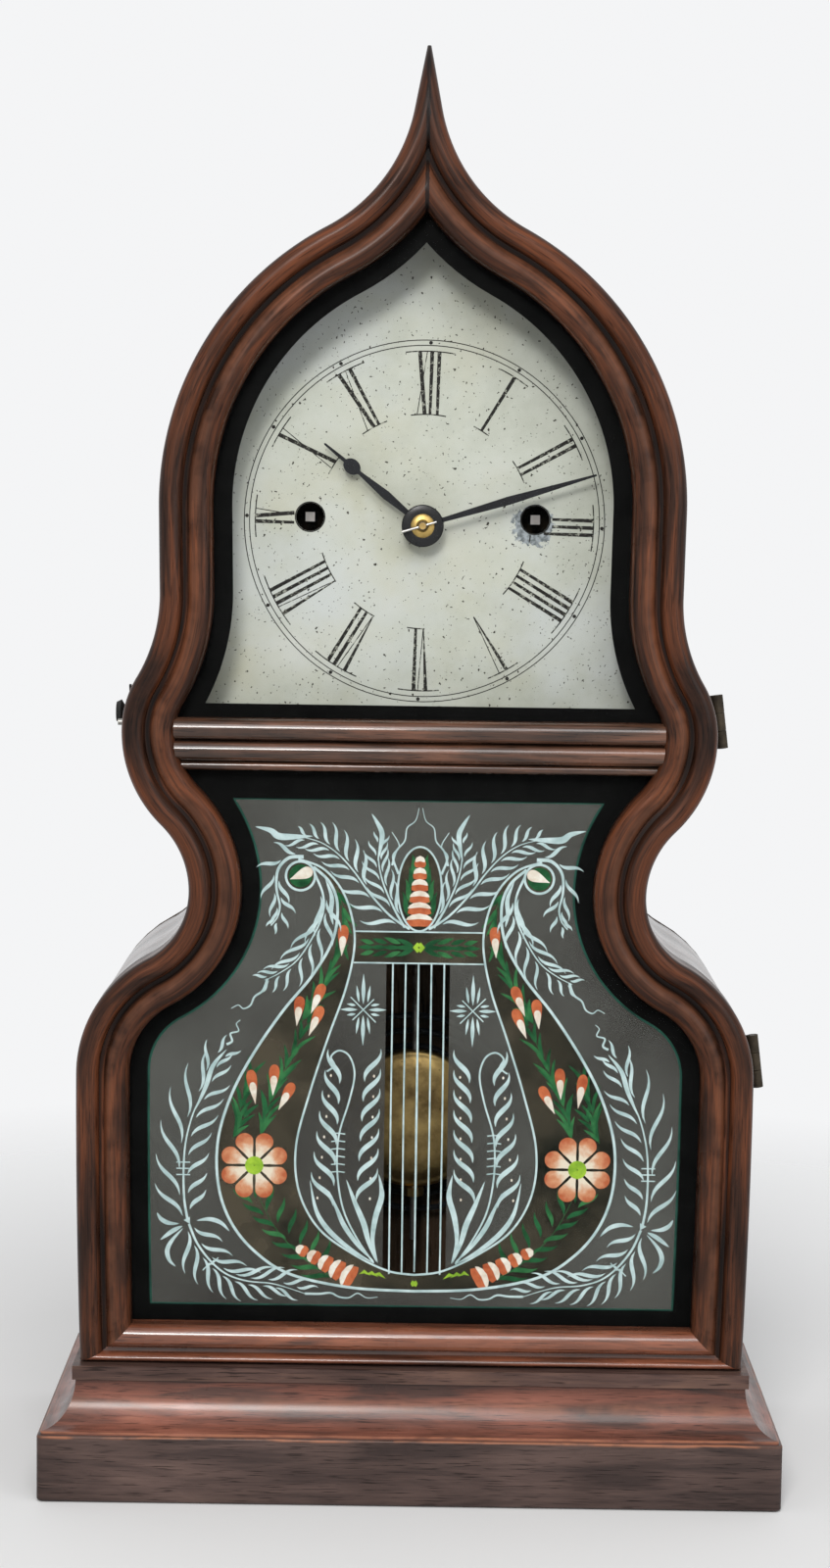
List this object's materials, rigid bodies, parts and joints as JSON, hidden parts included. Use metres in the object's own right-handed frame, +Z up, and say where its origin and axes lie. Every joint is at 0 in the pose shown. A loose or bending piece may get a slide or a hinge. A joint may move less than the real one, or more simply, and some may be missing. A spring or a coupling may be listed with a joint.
{
  "type": "acorn shelf clock",
  "caption": "Small acorn-shaped shelf clock: bent-sided case on a coved base, glazed door with a painted tablet, striking movement, pendulum and wire gong.",
  "frame": {"origin": "centre of the underside of the base", "axes": "+Z up, the dial faces -Y, +X to the right of a person who reads the dial"},
  "size_m": [0.255, 0.124, 0.4922],
  "materials": {
    "dark_wood": "polished",
    "red_wood": "polished",
    "softwood": "sawn, aged",
    "painted_zinc": "satin, aged",
    "clear_glass": "clear",
    "painted_glass": "painted from behind",
    "brass": "aged",
    "steel": "satin",
    "dark_steel": "blued and blackened"
  },
  "bodies": {
    "case": {"plinth_front": "dark_wood", "plinth_sides": "dark_wood", "cove_front": "red_wood", "cove_sides": "red_wood", "base_top_board": "dark_wood", "base_bottom_board": "softwood", "base_back_board": "softwood", "base_glue_blocks": "softwood", "case_side_left": "dark_wood", "case_side_right": "dark_wood", "backboard": "softwood", "dial_blocks": "softwood", "dial_plate": "painted_zinc", "dial_screws": "brass", "hinge_case_leaves": "brass", "hinge_pins": "steel", "hinge_case_screws": "brass", "movement_front_plate": "brass", "movement_back_plate": "brass", "movement_pillars": "steel", "movement_posts": "softwood", "mainsprings": "steel", "suspension_cock": "brass", "gong_coil": "dark_steel", "gong_block": "dark_steel"},
    "door": {"door_stile_left": "dark_wood", "door_stile_right": "dark_wood", "door_mid_rail": "dark_wood", "door_bottom_rail": "dark_wood", "upper_glass": "clear_glass", "lower_glass_tablet": "painted_glass", "glazing_strips": "dark_wood", "hinge_door_leaves": "brass", "hinge_door_screws": "brass", "latch_stud": "steel"},
    "latch": {"latch_knob": "dark_steel", "latch_hook": "dark_steel"},
    "minute_hand_group": {"centre_wheel": "brass", "cannon_pinion": "brass", "minute_hand": "dark_steel", "hand_washer": "brass", "hand_taper_pin": "steel"},
    "hour_hand_group": {"hour_wheel": "brass", "hour_hand": "dark_steel"},
    "minute_wheel": {"minute_wheel": "brass"},
    "second_wheel": {"second_wheel": "brass"},
    "time_great_wheel": {"time_great_wheel": "brass"},
    "third_wheel": {"third_wheel": "brass"},
    "escape_wheel": {"escape_wheel": "brass"},
    "time_winding_arbor": {"time_winding_arbor": "steel"},
    "strike_winding_arbor": {"strike_winding_arbor": "steel"},
    "strike_great_wheel": {"strike_great_wheel": "brass"},
    "pin_wheel": {"pin_wheel": "brass"},
    "warning_wheel": {"warning_wheel": "brass"},
    "strike_fly": {"strike_fly": "brass"},
    "strike_hammer": {"strike_hammer": "steel"},
    "pendulum": {"pendulum_rod": "steel"},
    "verge": {"verge_and_crutch": "steel"},
    "bob": {"pendulum_bob": "brass"},
    "rating_nut": {"rating_nut": "brass"}
  },
  "joints": [
    {"name": "door_hinge", "type": "hinge", "parent": "case", "child": "door", "pos_m": [0.10306, -0.0298, 0.268], "axis": [-0.1269, 0, 0.9919], "range_deg": [0, 112]},
    {"name": "latch_turn", "type": "hinge", "parent": "case", "child": "latch", "pos_m": [-0.1014, -0.0216, 0.268], "axis": [1, 0, 0], "range_deg": [-15, 165]},
    {"name": "minute_hand_turn", "type": "hinge", "parent": "case", "child": "minute_hand_group", "pos_m": [0, 0, 0.3335], "axis": [0, 1, 0], "continuous": true},
    {"name": "hour_hand_turn", "type": "hinge", "parent": "case", "child": "hour_hand_group", "pos_m": [0, 0, 0.3335], "axis": [0, 1, 0], "continuous": true},
    {"name": "minute_wheel_turn", "type": "hinge", "parent": "case", "child": "minute_wheel", "pos_m": [-0.00926, 0, 0.32247], "axis": [0, 1, 0], "continuous": true},
    {"name": "second_wheel_turn", "type": "hinge", "parent": "case", "child": "second_wheel", "pos_m": [0.01935, 0, 0.32222], "axis": [0, 1, 0], "continuous": true},
    {"name": "time_great_wheel_turn", "type": "hinge", "parent": "case", "child": "time_great_wheel", "pos_m": [0.039, 0, 0.336], "axis": [0, 1, 0], "continuous": true},
    {"name": "third_wheel_turn", "type": "hinge", "parent": "case", "child": "third_wheel", "pos_m": [0.01075, 0, 0.35212], "axis": [0, 1, 0], "continuous": true},
    {"name": "escape_wheel_turn", "type": "hinge", "parent": "case", "child": "escape_wheel", "pos_m": [0, 0, 0.37074], "axis": [0, 1, 0], "continuous": true},
    {"name": "time_winding_turn", "type": "hinge", "parent": "case", "child": "time_winding_arbor", "pos_m": [0.039, 0, 0.336], "axis": [0, 1, 0], "continuous": true},
    {"name": "strike_winding_turn", "type": "hinge", "parent": "case", "child": "strike_winding_arbor", "pos_m": [-0.039, 0, 0.336], "axis": [0, 1, 0], "continuous": true},
    {"name": "strike_great_wheel_turn", "type": "hinge", "parent": "case", "child": "strike_great_wheel", "pos_m": [-0.039, 0, 0.336], "axis": [0, 1, 0], "continuous": true},
    {"name": "pin_wheel_turn", "type": "hinge", "parent": "case", "child": "pin_wheel", "pos_m": [-0.02217, 0, 0.31917], "axis": [0, 1, 0], "continuous": true},
    {"name": "warning_wheel_turn", "type": "hinge", "parent": "case", "child": "warning_wheel", "pos_m": [-0.0045, 0, 0.30897], "axis": [0, 1, 0], "continuous": true},
    {"name": "fly_turn", "type": "hinge", "parent": "case", "child": "strike_fly", "pos_m": [0.0039, 0, 0.29442], "axis": [0, 1, 0], "continuous": true},
    {"name": "hammer_swing", "type": "hinge", "parent": "case", "child": "strike_hammer", "pos_m": [-0.044, 0, 0.3035], "axis": [0, 1, 0], "range_deg": [-0.3, 3]},
    {"name": "pendulum_swing", "type": "hinge", "parent": "case", "child": "pendulum", "pos_m": [0, 0.038, 0.38854], "axis": [0, 1, 0], "range_deg": [-4, 4]},
    {"name": "verge_swing", "type": "hinge", "parent": "case", "child": "verge", "pos_m": [0, 0, 0.38854], "axis": [0, 1, 0], "range_deg": [-4, 4]},
    {"name": "bob_height", "type": "slide", "parent": "pendulum", "child": "bob", "axis": [0, 0, 1], "range_m": [-0.003, 0.003]},
    {"name": "rating_nut_turn", "type": "hinge", "parent": "bob", "child": "rating_nut", "pos_m": [0, 0.038, 0.11354], "axis": [0, 0, 1], "range_deg": [-1810, 1810]}
  ],
  "couplings": [
    {"joint": "hour_hand_turn", "follows": "minute_hand_turn", "ratio": 0.083333},
    {"joint": "minute_wheel_turn", "follows": "minute_hand_turn", "ratio": -0.33333},
    {"joint": "second_wheel_turn", "follows": "minute_hand_turn", "ratio": -0.14286},
    {"joint": "time_great_wheel_turn", "follows": "minute_hand_turn", "ratio": 0.020408},
    {"joint": "third_wheel_turn", "follows": "minute_hand_turn", "ratio": -9.75},
    {"joint": "escape_wheel_turn", "follows": "minute_hand_turn", "ratio": 95.062},
    {"joint": "pin_wheel_turn", "follows": "strike_great_wheel_turn", "ratio": -6},
    {"joint": "warning_wheel_turn", "follows": "strike_great_wheel_turn", "ratio": 45},
    {"joint": "fly_turn", "follows": "strike_great_wheel_turn", "ratio": -270},
    {"joint": "verge_swing", "follows": "pendulum_swing", "ratio": 1},
    {"joint": "rating_nut_turn", "follows": "bob_height", "rad_per_m": 10472}
  ]
}
